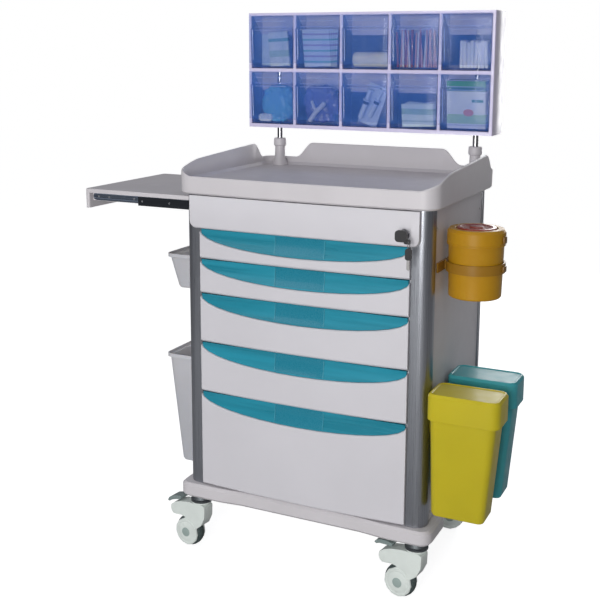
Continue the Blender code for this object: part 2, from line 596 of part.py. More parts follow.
def make_tubs():
    """Two open tubs hung on the left panel, each with a rim flange and a hook plate behind."""
    for name, z0, z1, out, foot in (("tub_upper", 0.6300, 0.7160, 0.4000, 0.3780),
                                    ("tub_lower", 0.1850, 0.4640, 0.4060, 0.3740)):
        tub = open_tub(name, "tub", [
            (-foot + 0.004, -0.3010, -0.118, 0.118, 0.010, z0), (-foot, -0.2990, -0.122, 0.122, 0.014, z0 + 0.006),
            (-out + 0.006, -0.2990, -0.1320, 0.1320, 0.016, z1 - 0.012),
            (-out + 0.005, -0.2990, -0.1330, 0.1330, 0.016, z1 - 0.010),
            (-out, -0.2985, -0.1370, 0.1370, 0.018, z1 - 0.009), (-out, -0.2985, -0.1370, 0.1370, 0.018, z1)],
            0.0030, 0.0030)
        join(tub, box("c", (-0.3005, -0.070, z1 - 0.040), (-0.2939, 0.070, z1 - 0.014)))


def make_waste_bins():
    for colour, look, y0, y1 in (("yellow", "yellow", -0.2290, -0.1350), ("teal", "waste_teal", -0.0880, 0.0060)):
        bin_ = open_tub("waste_bin_" + colour, look, [
            (0.3150, 0.4270, y0 + 0.012, y1 - 0.012, 0.012, 0.2220), (0.3120, 0.4300, y0 + 0.009, y1 - 0.009, 0.015, 0.2280),
            (0.3040, 0.4510, y0 + 0.0035, y1 - 0.0035, 0.018, 0.4780), (0.3040, 0.4510, y0 + 0.0035, y1 - 0.0035, 0.018, 0.4860)],
            0.0024, 0.0028)
        hook_y = max(y0 + 0.014, -0.1735)          # clear of the corner post
        join(bin_, box("c", (0.2939, hook_y, 0.3900), (0.3140, y1 - 0.014, 0.4250)))
        xs, r = (0.2995, 0.4565), 0.020

        def ring(d, z):
            return at(rounded(xs[0] + d, xs[1] - d, y0 + d, y1 - d, max(r - d, 0.004), 4), z)
        lid = loft("waste_lid_" + colour, [
            ring(0.0, 0.4370), ring(0.0, 0.4890), ring(0.0040, 0.4950), ring(0.0075, 0.4950),
            ring(0.0095, 0.4935)], look)
        cut(lid, loft("c", [ring(0.0024, 0.4300), ring(0.0024, 0.4880)]))


def make_sharps():
    centre = (0.3610, -0.1000, 0.0)
    cup = turned("sharps_container", [
        (0.0, 0.6845), (0.0540, 0.6845), (0.0565, 0.6875), (0.0591, 0.8030), (0.0598, 0.8050), (0.0598, 0.8085),
        (0.0555, 0.8095), (0.0533, 0.6890), (0.0, 0.6880)], centre, "amber", steps=28)
    lid = turned("sharps_lid", [
        (0.0, 0.8215), (0.0430, 0.8215), (0.0455, 0.8330), (0.0575, 0.8330), (0.0622, 0.8270), (0.0622, 0.7980),
        (0.0604, 0.7980), (0.0604, 0.8105), (0.0520, 0.8150), (0.0, 0.8160)], centre, "amber", steps=28)
    ring = [[(centre[0] + r * math.cos(a), centre[1] + r * math.sin(a), z) for a in
             (2 * math.pi * i / 28 for i in range(28))] for r, z in
            ((0.0597, 0.7400), (0.0633, 0.7400), (0.0633, 0.7610), (0.0597, 0.7610))]
    bracket = loft("sharps_bracket", ring, "amber", True)
    join(bracket, box("c", (0.2939, -0.1620, 0.7400), (0.2975, -0.0400, 0.7610)))
    join(bracket, box("c", (0.2960, -0.1150, 0.7410), (0.3015, -0.0850, 0.7600)))
    return cup, lid, bracket


# ---------------------------------------------------------------- build
def finish():
    """Smooth shading, with the hard edges kept."""
    for obj in bpy.data.objects:
        obj.data.polygons.foreach_set("use_smooth", [True] * len(obj.data.polygons))
        obj.data.set_sharp_from_angle(angle=math.radians(32))


def main():
    clear_scene()
    make_base()
    for corner, values in CASTORS.items():
        make_castor(corner, *values)
    make_posts()
    make_panels()
    make_runners()
    for number, (low, top) in enumerate(drawer_spans(), 1):
        make_drawer(number, low, top)
    make_fascia()
    make_lock()
    make_worktop()
    make_organiser()
    make_tilt_bins()
    make_shelf()
    make_tubs()
    make_waste_bins()
    make_sharps()
    finish()


main()
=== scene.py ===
"""The looks of a hospital medicine trolley: camera, studio, finishes, and the small pieces that the CAD
leaves out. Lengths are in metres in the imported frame's axes: X right, Y back, Z up, floor at z = 0.
Where it can, a piece takes its place from the box or joint of the CAD piece that it sits on."""

import json
import math
import random

import bmesh
import bpy
from mathutils import Matrix, Vector, noise
from mathutils.bvhtree import BVHTree


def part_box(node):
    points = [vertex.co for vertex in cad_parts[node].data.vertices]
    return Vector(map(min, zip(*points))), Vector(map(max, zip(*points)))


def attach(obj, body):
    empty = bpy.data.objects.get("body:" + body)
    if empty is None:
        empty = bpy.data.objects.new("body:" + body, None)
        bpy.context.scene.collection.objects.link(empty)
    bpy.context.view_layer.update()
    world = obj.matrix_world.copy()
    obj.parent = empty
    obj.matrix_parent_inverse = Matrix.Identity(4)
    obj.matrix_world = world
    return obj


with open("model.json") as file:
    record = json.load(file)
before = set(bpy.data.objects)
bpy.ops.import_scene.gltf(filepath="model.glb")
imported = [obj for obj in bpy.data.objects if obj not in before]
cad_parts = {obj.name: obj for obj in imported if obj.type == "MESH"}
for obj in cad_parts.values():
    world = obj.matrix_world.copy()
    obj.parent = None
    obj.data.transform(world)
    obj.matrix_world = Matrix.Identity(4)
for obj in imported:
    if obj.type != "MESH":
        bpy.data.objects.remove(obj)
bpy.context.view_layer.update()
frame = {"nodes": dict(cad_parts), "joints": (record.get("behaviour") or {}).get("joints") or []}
NODES = frame["nodes"]
JOINTS = {joint["name"]: joint for joint in frame["joints"]}
DRAWERS = range(1, 6)
CORNERS = ("fl", "fr", "rl", "rr")
COLUMNS = range(1, 6)
ROWS = ("upper", "lower")
CAMERA_AT = Vector((0.9273, -2.1420, 1.1938))
CAMERA_TURN = (25.2175, 10.1405, 0.3094)    # degrees: to the left, down, and about the view
CAMERA_LENS, CAMERA_SENSOR = 59.964, 36.0    # millimetres
CAMERA_SHIFT = (-0.0137, -0.1124)
LOOK_AT = Vector((0.0, 0.0, 0.68))    # the middle of the trolley, which the lights face
FLOOR_RADIUS = 14.0
BAND_SOFT = 0.0004    # half the width of a printed band's border
SHARP_FOLD = 32.0     # degrees: a CAD edge steeper than this stays sharp
BEVEL_FOLD = 38.0     # degrees: a CAD edge steeper than this is rounded
SHARP_PIECE = 35.0    # degrees: an edge of an added piece steeper than this stays sharp
LEAN = 6.0            # degrees that a pack leans forward against its bin's clear front
FACE_Y = 0.1450       # no clear face of a tilt bin stands further back than this
FACE_THICK = 0.0012
FRONT_GAP, FLOOR_GAP = 0.0160, 0.0040    # from a tilt bin's lowest corner to where its contents stand
SLIDE_Y, SLIDE_Z = 0.17287, 0.8482    # outer face and middle height of the shelf's rails
LID_RADIUS, BAND_RADIUS = 0.0622, 0.0633    # outside of the sharps lid and of its band


# ---------------------------------------------------------------- camera and studio
def make_camera():
    """Stands to the front right, a little above the worktop, and looks slightly down."""
    yaw, pitch, roll = (math.radians(a) for a in CAMERA_TURN)
    ahead = Vector((-math.sin(yaw) * math.cos(pitch), math.cos(yaw) * math.cos(pitch), -math.sin(pitch)))
    level = Vector((math.cos(yaw), math.sin(yaw), 0.0))
    upright = level.cross(ahead)
    side = level * math.cos(roll) + upright * math.sin(roll)
    up = upright * math.cos(roll) - level * math.sin(roll)
    data = bpy.data.cameras.new("camera")
    data.sensor_width, data.lens = CAMERA_SENSOR, CAMERA_LENS
    data.shift_x, data.shift_y = CAMERA_SHIFT
    camera = bpy.data.objects.new("camera", data)
    bpy.context.scene.collection.objects.link(camera)
    turn = Matrix((side, up, -ahead)).transposed().to_4x4()
    camera.matrix_world = Matrix.Translation(CAMERA_AT) @ turn
    bpy.context.scene.camera = camera


def softbox(name, azimuth, elevation, distance, size, power, colour=(1.0, 1.0, 1.0)):
    """A square area light that faces the middle of the trolley. Azimuth 0 is straight in front."""
    a, e = math.radians(azimuth), math.radians(elevation)
    away = Vector((math.sin(a) * math.cos(e), -math.cos(a) * math.cos(e), math.sin(e)))
    data = bpy.data.lights.new(name, "AREA")
    data.size, data.energy, data.color = size, power, colour
    light = bpy.data.objects.new(name, data)
    bpy.context.scene.collection.objects.link(light)
    light.location = LOOK_AT + away * distance
    light.rotation_euler = away.to_track_quat("Z", "Y").to_euler()


def make_world():
    """White behind the trolley, and a dimmer sky that lights it and shows in its metal."""
    world = bpy.data.worlds.new("studio")
    bpy.context.scene.world = world
    world.use_nodes = True
    nodes, links = world.node_tree.nodes, world.node_tree.links
    nodes.clear()
    place = nodes.new("ShaderNodeTexCoord")
    split = nodes.new("ShaderNodeSeparateXYZ")
    rise = nodes.new("ShaderNodeValToRGB")
    rise.color_ramp.elements[0].position = 0.0
    rise.color_ramp.elements[0].color = (0.17, 0.17, 0.18, 1.0)
    rise.color_ramp.elements[1].position = 0.8
    rise.color_ramp.elements[1].color = (0.34, 0.34, 0.355, 1.0)
    sky, white = nodes.new("ShaderNodeBackground"), nodes.new("ShaderNodeBackground")
    white.inputs["Color"].default_value = (1.0, 1.0, 1.0, 1.0)
    path, mix = nodes.new("ShaderNodeLightPath"), nodes.new("ShaderNodeMixShader")
    out = nodes.new("ShaderNodeOutputWorld")
    links.new(place.outputs["Generated"], split.inputs[0])
    links.new(split.outputs["Z"], rise.inputs[0])
    links.new(rise.outputs[0], sky.inputs["Color"])
    links.new(path.outputs["Is Camera Ray"], mix.inputs[0])
    links.new(sky.outputs[0], mix.inputs[1])
    links.new(white.outputs[0], mix.inputs[2])
    links.new(mix.outputs[0], out.inputs["Surface"])


def make_floor():
    """A round floor that looks white to the camera and keeps a soft shadow under the castors."""
    mesh = bpy.data.meshes.new("floor")
    shape = bmesh.new()
    bmesh.ops.create_circle(shape, cap_ends=True, segments=64, radius=FLOOR_RADIUS)
    shape.to_mesh(mesh)
    shape.free()
    floor = bpy.data.objects.new("floor", mesh)
    bpy.context.scene.collection.objects.link(floor)
    tree = Tree("studio_floor", (0.42, 0.42, 0.425), Roughness=0.9)
    path = tree.add("ShaderNodeLightPath")
    lift = tree.map(path.outputs["Is Camera Ray"], 0.0, 0.86)
    tree.shader.inputs["Emission Color"].default_value = (1.0, 1.0, 1.0, 1.0)
    tree.to("Emission Strength", lift)
    mesh.materials.append(tree.material)


def make_studio():
    bpy.context.scene.view_settings.view_transform = "Standard"
    make_world()
    make_floor()
    softbox("key", 9.0, 7.0, 3.4, 1.3, 64.0, (1.0, 0.99, 0.975))
    softbox("fill", -35.0, 20.0, 3.2, 1.6, 12.0, (0.96, 0.98, 1.0))
    softbox("top", 0.0, 78.0, 2.2, 1.4, 3.0)
    softbox("back", 175.0, 14.0, 3.2, 1.6, 34.0)


# ---------------------------------------------------------------- finishes
class Tree:
    """A Principled material built node by node. Patterns are laid in the piece's own coordinates."""

    def __init__(self, name, colour, **fixed):
        self.material = bpy.data.materials.new(name)
        self.material.use_nodes = True
        self.nodes, self.links = self.material.node_tree.nodes, self.material.node_tree.links
        self.shader = self.nodes["Principled BSDF"]
        self.shader.inputs["Base Color"].default_value = (*colour, 1.0)
        for socket, value in fixed.items():
            self.shader.inputs[socket.replace("_", " ")].default_value = value
        self.place = None

    def add(self, kind, **settings):
        node = self.nodes.new(kind)
        for key, value in settings.items():
            setattr(node, key, value)
        return node

    def to(self, socket, output):
        self.links.new(output, self.shader.inputs[socket])

    def where(self):
        if self.place is None:
            self.place = self.add("ShaderNodeTexCoord").outputs["Object"]
        return self.place

    def axis(self, letter):
        split = self.add("ShaderNodeSeparateXYZ")
        self.links.new(self.where(), split.inputs[0])
        return split.outputs[letter]

    def stretched(self, scale):
        mapping = self.add("ShaderNodeMapping")
        mapping.inputs["Scale"].default_value = scale
        self.links.new(self.where(), mapping.inputs["Vector"])
        return mapping.outputs[0]

    def noise(self, scale, detail=3.0, stretch=None):
        node = self.add("ShaderNodeTexNoise")
        self.links.new(self.stretched(stretch) if stretch else self.where(), node.inputs["Vector"])
        node.inputs["Scale"].default_value = scale
        node.inputs["Detail"].default_value = detail
        return node.outputs["Fac"]

    def cells(self, scale, stretch=None):
        node = self.add("ShaderNodeTexVoronoi")
        self.links.new(self.stretched(stretch) if stretch else self.where(), node.inputs["Vector"])
        node.inputs["Scale"].default_value = scale
        return node.outputs["Distance"]

    def map(self, value, low, high, start=0.0, end=1.0):
        node = self.add("ShaderNodeMapRange")
        for socket, number in zip(("From Min", "From Max", "To Min", "To Max"), (start, end, low, high)):
            node.inputs[socket].default_value = number
        self.links.new(value, node.inputs["Value"])
        return node.outputs[0]

    def math(self, operation, a, b=0.0):
        node = self.add("ShaderNodeMath", operation=operation)
        for socket, value in zip(node.inputs, (a, b)):
            if isinstance(value, (int, float)):
                socket.default_value = value
            else:
                self.links.new(value, socket)
        return node.outputs[0]

    def band(self, value, low, high):
        """1 where value lies between low and high, with a soft border."""
        return self.math("MULTIPLY", self.map(value, 0.0, 1.0, low - BAND_SOFT, low + BAND_SOFT),
                         self.map(value, 1.0, 0.0, high - BAND_SOFT, high + BAND_SOFT))

    def mix(self, share, a, b):
        node = self.add("ShaderNodeMix", data_type="RGBA")
        self.links.new(share, node.inputs[0])
        for socket, value in ((node.inputs[6], a), (node.inputs[7], b)):
            if isinstance(value, tuple):
                socket.default_value = (*value, 1.0)
            else:
                self.links.new(value, socket)
        return node.outputs[2]

    def fade(self, value, start, end, a, b):
        """Colour a where value is below start, b where it is above end, and a blend between."""
        return self.mix(self.map(value, 0.0, 1.0, start, end), a, b)

    def bump(self, height, distance, strength):
        node = self.add("ShaderNodeBump")
        node.inputs["Strength"].default_value = strength
        node.inputs["Distance"].default_value = distance
        self.links.new(height, node.inputs["Height"])
        self.to("Normal", node.outputs[0])

    def edges(self, radius=0.0016):
        """1 along the worn outer edges and 0 on the faces."""
        bevel = self.add("ShaderNodeBevel", samples=4)
        bevel.inputs["Radius"].default_value = radius
        flat = self.add("ShaderNodeNewGeometry")
        dot = self.add("ShaderNodeVectorMath", operation="DOT_PRODUCT")
        self.links.new(bevel.outputs[0], dot.inputs[0])
        self.links.new(flat.outputs["Normal"], dot.inputs[1])
        return self.map(dot.outputs["Value"], 1.0, 0.0, 0.86, 0.985)


def shade(colour, factor):
    return tuple(min(c * factor, 1.0) for c in colour)


def plastic(name, colour, rough=0.40, mottle=0.035, grain=1100.0, depth=0.00003, wear=0.0, soil=0.0, **fixed):
    """Moulded plastic: a slow change of colour, fine grain and uneven gloss.

    Wear makes its edges paler, and soil is the height in metres below which it is dusty.
    """
    tree = Tree(name, colour, **fixed)
    cloud = tree.noise(6.0, 4.0)
    look = tree.fade(cloud, 0.32, 0.68, shade(colour, 1 - mottle), shade(colour, 1 + mottle))
    if wear:
        worn = tree.math("MULTIPLY", tree.edges(), tree.map(tree.noise(55.0, 5.0), 0.0, wear, 0.35, 0.62))
        look = tree.mix(worn, look, shade(colour, 1.22))
    if soil:
        low = tree.map(tree.axis("Z"), soil, 0.0, 0.0, 0.19)
        dusty = tree.math("MULTIPLY", low, tree.map(tree.noise(24.0, 6.0), 0.0, 1.0, 0.38, 0.72))
        look = tree.mix(dusty, look, shade(colour, 0.62))
    tree.to("Base Color", look)
    tree.to("Roughness", tree.map(tree.noise(38.0, 5.0), rough - 0.05, rough + 0.07, 0.3, 0.7))
    tree.bump(tree.noise(grain, 2.0), depth, 0.8)
    return tree


def shell_finish():
    """Warm grey moulded shell, dustier towards the floor."""
    return plastic("shell_abs", (0.610, 0.588, 0.612), 0.42, wear=0.5, soil=0.35, Coat_Weight=0.06).material


def front_finish():
    return plastic("front_enamel", (0.625, 0.615, 0.652), 0.34, mottle=0.02, grain=700.0, depth=0.00002,
                   wear=0.45, Coat_Weight=0.18, Coat_Roughness=0.25).material


def teal_finish():
    """Deep teal with faint drawn streaks along its length."""
    colour = (0.014, 0.235, 0.328)
    tree = Tree("teal_gloss", colour, Coat_Weight=0.10, Coat_Roughness=0.12, Specular_IOR_Level=0.30)
    streak = tree.noise(30.0, 4.0, (0.12, 1.0, 2.2))
    look = tree.fade(streak, 0.35, 0.65, shade(colour, 0.86), shade(colour, 1.14))
    worn = tree.math("MULTIPLY", tree.edges(0.0010), tree.map(tree.noise(70.0, 4.0), 0.1, 0.6, 0.35, 0.6))
    tree.to("Base Color", tree.mix(worn, look, (0.10, 0.42, 0.50)))
    tree.to("Roughness", tree.map(streak, 0.26, 0.36, 0.35, 0.65))
    tree.bump(tree.noise(800.0, 2.0), 0.00002, 0.6)
    return tree.material


def brushed(name, colour, rough, stretch, depth=0.00002):
    """Drawn metal: its streaks run along the axis that stretch keeps small."""
    tree = Tree(name, colour, Metallic=1.0, Anisotropic=0.35)
    streak = tree.noise(1.0, 5.0, stretch)
    cloud = tree.noise(9.0, 3.0)
    look = tree.fade(streak, 0.3, 0.7, shade(colour, 0.90), shade(colour, 1.08))
    look = tree.mix(tree.map(cloud, 0.0, 0.30, 0.35, 0.75), look, shade(colour, 0.82))
    tree.to("Base Color", look)
    tree.to("Roughness", tree.map(streak, rough - 0.06, rough + 0.08, 0.3, 0.7))
    tree.bump(streak, depth, 0.7)
    return tree.material


def zinc_finish():
    """Galvanised sheet with its crystal pattern."""
    tree = Tree("zinc", (0.42, 0.43, 0.45), Metallic=1.0)
    spangle = tree.cells(180.0, (1.0, 1.0, 0.6))
    tree.to("Base Color", tree.fade(spangle, 0.1, 0.9, (0.34, 0.35, 0.37), (0.50, 0.51, 0.53)))
    tree.to("Roughness", tree.map(spangle, 0.30, 0.46, 0.0, 1.0))
    tree.bump(spangle, 0.00003, 0.5)
    return tree.material


def frame_painted_light():
    """Lilac organiser frame with painted light: its front edges are painted nearly white as the lit side, and
    its sides are painted greyer as painted shade.
    """
    lit_lilac, grey = (0.66, 0.62, 0.84), (0.62, 0.59, 0.73)
    tree = Tree("lilac_frame_painted_light", lit_lilac, Coat_Weight=0.1)
    # Painted light: the front strip, in front of y = 0.1456, gets the lighter lit lilac, and the rest gets
    # the greyer lilac as painted shade.
    front = tree.map(tree.axis("Y"), 1.0, 0.0, 0.1456, 0.1500)
    cloud = tree.noise(9.0, 4.0)
    side = tree.fade(cloud, 0.3, 0.7, shade(grey, 0.93), shade(grey, 1.06))
    tree.to("Base Color", tree.mix(front, side, lit_lilac))
    tree.to("Roughness", tree.map(tree.noise(45.0, 4.0), 0.28, 0.42, 0.3, 0.7))
    tree.bump(tree.noise(900.0, 2.0), 0.00002, 0.6)
    return tree.material


def clear_blue_finish():
    """Tinted clear plastic: denser where the wall is seen along its length."""
    colour = (0.095, 0.270, 0.860)
    tree = Tree("clear_blue", colour, Coat_Weight=0.5, Coat_Roughness=0.05)
    weight = tree.add("ShaderNodeLayerWeight")
    weight.inputs["Blend"].default_value = 0.25
    cloud = tree.noise(14.0, 3.0)
    dense = tree.map(weight.outputs["Facing"], 0.095, 0.80)
    tree.to("Alpha", tree.math("ADD", dense, tree.map(cloud, -0.03, 0.04, 0.3, 0.7)))
    tree.to("Base Color", tree.fade(cloud, 0.3, 0.7, shade(colour, 0.86), shade(colour, 1.18)))
    tree.to("Roughness", tree.map(tree.noise(60.0, 3.0), 0.07, 0.16, 0.3, 0.7))
    tree.bump(tree.noise(26.0, 2.0), 0.0003, 0.35)
    return tree.material


def amber_finish(name, colour):
    """Waxy polypropylene that lets some light in."""
    return plastic(name, colour, 0.36, mottle=0.05, grain=500.0, Specular_IOR_Level=0.25,
                   Subsurface_Weight=0.12, Subsurface_Radius=(0.010, 0.006, 0.002),
                   Subsurface_Scale=0.5, Coat_Weight=0.05).material


def key_finish():
    """Black moulded head on a plated shank."""
    tree = Tree("key_black_and_plate", (0.02, 0.02, 0.022))
    plate = tree.map(tree.axis("Y"), 0.0, 1.0, -0.2462, -0.2458)
    tree.to("Base Color", tree.mix(plate, (0.018, 0.018, 0.020), (0.45, 0.45, 0.46)))
    tree.to("Metallic", plate)
    tree.to("Roughness", tree.map(tree.noise(400.0, 3.0), 0.34, 0.52, 0.3, 0.7))
    tree.bump(tree.noise(1500.0, 2.0), 0.00003, 0.6)
    return tree.material


def spare_key_finish():
    """Plated ring above, black head, grey blade below."""
    low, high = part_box("spare_key")
    ring, blade = high.z - 0.0130, low.z + 0.0224
    tree = Tree("spare_key_finish", (0.02, 0.02, 0.022))
    height = tree.axis("Z")
    plate = tree.math("ADD", tree.map(height, 0.0, 1.0, ring, ring + 0.0004),
                      tree.map(height, 1.0, 0.0, blade - 0.0004, blade))
    tree.to("Base Color", tree.mix(plate, (0.018, 0.018, 0.020), (0.40, 0.39, 0.39)))
    tree.to("Metallic", plate)
    tree.to("Roughness", tree.map(tree.noise(500.0, 3.0), 0.30, 0.50, 0.3, 0.7))
    tree.bump(tree.noise(1500.0, 2.0), 0.00003, 0.6)
    return tree.material


def tyre_finish():
    """Grey-green rubber, paler where it has run on the floor."""
    tree = Tree("tyre_rubber", (0.060, 0.085, 0.085), Specular_IOR_Level=0.3)
    speck = tree.noise(240.0, 5.0)
    tree.to("Base Color", tree.fade(speck, 0.35, 0.7, (0.045, 0.066, 0.066), (0.105, 0.135, 0.132)))
    tree.to("Roughness", tree.map(speck, 0.52, 0.78, 0.3, 0.7))
    tree.bump(tree.noise(700.0, 4.0), 0.00008, 0.8)
    return tree.material


def make_finishes():
    return {
        "shell": shell_finish(),
        "front": front_finish(),
        "teal": teal_finish(),
        "aluminium": brushed("aluminium_anodised", (0.36, 0.375, 0.41), 0.30, (900.0, 900.0, 5.0)),
        "chrome": brushed("chrome_rod", (0.40, 0.40, 0.42), 0.14, (700.0, 700.0, 8.0), 0.000006),
        "steel": zinc_finish(),
        "black": key_finish(),
        "black_steel": brushed("blackened_steel", (0.050, 0.055, 0.065), 0.34, (5.0, 700.0, 700.0)),
        "lilac": frame_painted_light(),
        "bin_blue": clear_blue_finish(),
        "amber": amber_finish("amber_pp", (0.450, 0.232, 0.010)),
        "yellow": amber_finish("yellow_pp", (0.520, 0.435, 0.018)),
        "waste_teal": amber_finish("teal_pp", (0.050, 0.330, 0.370)),
        "tub": plastic("tub_pp", (0.57, 0.565, 0.595), 0.44, mottle=0.05, wear=0.3, Subsurface_Weight=0.08,
                       Subsurface_Scale=0.3).material,
        "castor": plastic("castor_nylon", (0.76, 0.82, 0.785), 0.32, mottle=0.03, soil=0.45,
                          wear=0.3).material,
        "tyre": tyre_finish(),
        "pedal": plastic("pedal_nylon", (0.22, 0.275, 0.27), 0.45, mottle=0.10, grain=600.0,
                         wear=0.8).material,
    }


# ---------------------------------------------------------------- soft shading of the CAD pieces
def shading_group():
    """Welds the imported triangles, drops their flat normals, and keeps only the real edges sharp."""
    group = bpy.data.node_groups.new("soft_shading", "GeometryNodeTree")
    group.interface.new_socket("Geometry", in_out="INPUT", socket_type="NodeSocketGeometry")
    group.interface.new_socket("Geometry", in_out="OUTPUT", socket_type="NodeSocketGeometry")
    nodes, links = group.nodes, group.links
    start, end = nodes.new("NodeGroupInput"), nodes.new("NodeGroupOutput")
    weld = nodes.new("GeometryNodeMergeByDistance")
    weld.inputs["Distance"].default_value = 0.00001
    drop = nodes.new("GeometryNodeRemoveAttribute")
    drop.inputs["Name"].default_value = "custom_normal"
    faces, creases = nodes.new("GeometryNodeSetShadeSmooth"), nodes.new("GeometryNodeSetShadeSmooth")
    creases.domain = "EDGE"
    creases.inputs["Shade Smooth"].default_value = False
    fold = nodes.new("GeometryNodeInputMeshEdgeAngle")
    steep = nodes.new("FunctionNodeCompare")
    steep.operation = "GREATER_THAN"
    steep.inputs[1].default_value = math.radians(SHARP_FOLD)
    links.new(start.outputs[0], weld.inputs[0])
    links.new(weld.outputs[0], drop.inputs[0])
    links.new(drop.outputs[0], faces.inputs[0])
    links.new(faces.outputs[0], creases.inputs[0])
    links.new(fold.outputs["Unsigned Angle"], steep.inputs[0])
    links.new(steep.outputs[0], creases.inputs["Selection"])
    links.new(creases.outputs[0], end.inputs[0])
    return group


EDGE_WIDTHS = {"shell": 0.0010, "front": 0.0007, "teal": 0.0005, "aluminium": 0.0004, "steel": 0.0003,
               "lilac": 0.0006, "bin_blue": 0.0003, "amber": 0.0005, "yellow": 0.0008, "waste_teal": 0.0008,
               "tub": 0.0005, "black": 0.0003, "black_steel": 0.0003, "chrome": 0.0004, "castor": 0.0004,
               "tyre": 0.0006, "pedal": 0.0005}


def dress_cad(finishes):
    group = shading_group()
    for obj in NODES.values():
        slot = obj.material_slots[0].material.name.split(".")[0]
        obj.material_slots[0].material = finishes[slot]
        smooth = obj.modifiers.new("soft_shading", "NODES")
        smooth.node_group = group
        edge = obj.modifiers.new("edge", "BEVEL")
        edge.width, edge.segments = EDGE_WIDTHS[slot], 2
        edge.limit_method, edge.angle_limit = "ANGLE", math.radians(BEVEL_FOLD)
        edge.harden_normals = True
    NODES["spare_key"].material_slots[0].material = spare_key_finish()
    NODES["sharps_bracket"].material_slots[0].material = amber_finish("amber_band", (0.300, 0.150, 0.014))


# ---------------------------------------------------------------- piece makers
def piece(name, shape, look, body, at=None):
    """Turns a bmesh into a named object in place, and lets it ride on its body."""
    mesh = bpy.data.meshes.new(name)
    bmesh.ops.recalc_face_normals(shape, faces=shape.faces)
    shape.to_mesh(mesh)
    shape.free()
    mesh.materials.append(look)
    mesh.polygons.foreach_set("use_smooth", [True] * len(mesh.polygons))
    mesh.set_sharp_from_angle(angle=math.radians(SHARP_PIECE))
    obj = bpy.data.objects.new(name, mesh)
    bpy.context.scene.collection.objects.link(obj)
    if at is not None:
        obj.matrix_world = at
    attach(obj, body)


def skin(shape, rings, caps=True):
    """Joins equal closed rings of points into one surface."""
    made = [[shape.verts.new(p) for p in ring] for ring in rings]
    count = len(made[0])
    for a, b in zip(made, made[1:]):
        for i in range(count):
            k = (i + 1) % count
            shape.faces.new((a[i], a[k], b[k], b[i]))
    if caps:
        shape.faces.new(made[0])
        shape.faces.new(reversed(made[-1]))


def turned(profile, steps=32):
    """A (radius, height) profile turned about Z. Both ends are closed."""
    shape = bmesh.new()
    rings = []
    for radius, height in profile:
        turn = (2 * math.pi * i / steps for i in range(steps))
        rings.append([(radius * math.cos(a), radius * math.sin(a), height) for a in turn])
    skin(shape, rings)
    return shape


def slab(width, depth, height, radius=0.002, segments=3, rows=6):
    """A rounded block that stands on z = 0 with its front at y = 0."""
    shape = bmesh.new()
    bmesh.ops.create_cube(shape, size=1.0)
    fit = Matrix.Translation((0.0, depth / 2, height / 2)) @ Matrix.Diagonal((width, depth, height, 1.0))
    bmesh.ops.transform(shape, matrix=fit, verts=shape.verts)
    bmesh.ops.bevel(shape, geom=shape.edges[:], offset=radius, segments=segments, affect="EDGES", profile=0.5)
    for i in range(1, rows):
        plane = (0.0, 0.0, height * i / rows)
        geometry = shape.verts[:] + shape.edges[:] + shape.faces[:]
        bmesh.ops.bisect_plane(shape, geom=geometry, plane_co=plane, plane_no=(0.0, 0.0, 1.0))
    return shape


def tube(points, radius, steps=10):
    """A round bar along points, with rounded ends."""
    shape = bmesh.new()
    points = [Vector(p) for p in points]
    first, last = (points[1] - points[0]).normalized(), (points[-1] - points[-2]).normalized()
    path = [(points[0] - first * radius * 0.5, 0.45), (points[0] - first * radius * 0.3, 0.8)]
    path += [(p, 1.0) for p in points]
    path += [(points[-1] + last * radius * 0.3, 0.8), (points[-1] + last * radius * 0.5, 0.45)]
    rings = []
    for i, (p, share) in enumerate(path):
        ahead = path[min(i + 1, len(path) - 1)][0] - path[max(i - 1, 0)][0]
        turn = ahead.to_track_quat("Z", "Y")
        angles = (2 * math.pi * k / steps for k in range(steps))
        rings.append([p + turn @ Vector((radius * share * math.cos(a), radius * share * math.sin(a), 0.0))
                      for a in angles])
    skin(shape, rings)
    return shape


def merged(*shapes):
    """One bmesh out of several, each with an optional matrix before it is added."""
    whole = bmesh.new()
    for item in shapes:
        shape, place = item if isinstance(item, tuple) else (item, Matrix.Identity(4))
        bmesh.ops.transform(shape, matrix=place, verts=shape.verts)
        mesh = bpy.data.meshes.new("part")
        shape.to_mesh(mesh)
        shape.free()
        whole.from_mesh(mesh)
        bpy.data.meshes.remove(mesh)
    return whole


def facing(normal):
    """Turns local +Z to a direction."""
    return Vector(normal).to_track_quat("Z", "Y").to_matrix().to_4x4()


def placed(point, turn=None):
    return Matrix.Translation(point) @ (turn or Matrix.Identity(4))


def turn_x(degrees):
    return Matrix.Rotation(math.radians(degrees), 4, "X")


def turn_y(degrees):
    return Matrix.Rotation(math.radians(degrees), 4, "Y")


def turn_z(degrees):
    return Matrix.Rotation(math.radians(degrees), 4, "Z")


# ---------------------------------------------------------------- drawers
def surface_of(node):
    """The CAD node's surface, for laying a thin piece on it."""
    return BVHTree.FromObject(NODES[node], bpy.context.evaluated_depsgraph_get())


def laid_patch(surface, xs, zs, lift, thick):
    """A thin plate over the front of a surface, seen from -Y."""
    shape = bmesh.new()
    rings = []
    for x in xs:
        front = []
        for z in zs:
            hit = surface.ray_cast(Vector((x, -0.40, z)), Vector((0.0, 1.0, 0.0)))[0]
            front.append(Vector((x, hit.y - lift, z)))
        rings.append([p - Vector((0.0, thick, 0.0)) for p in front] + list(reversed(front)))
    skin(shape, rings)
    return shape


def spread(low, high, count):
    return [low + (high - low) * i / (count - 1) for i in range(count)]


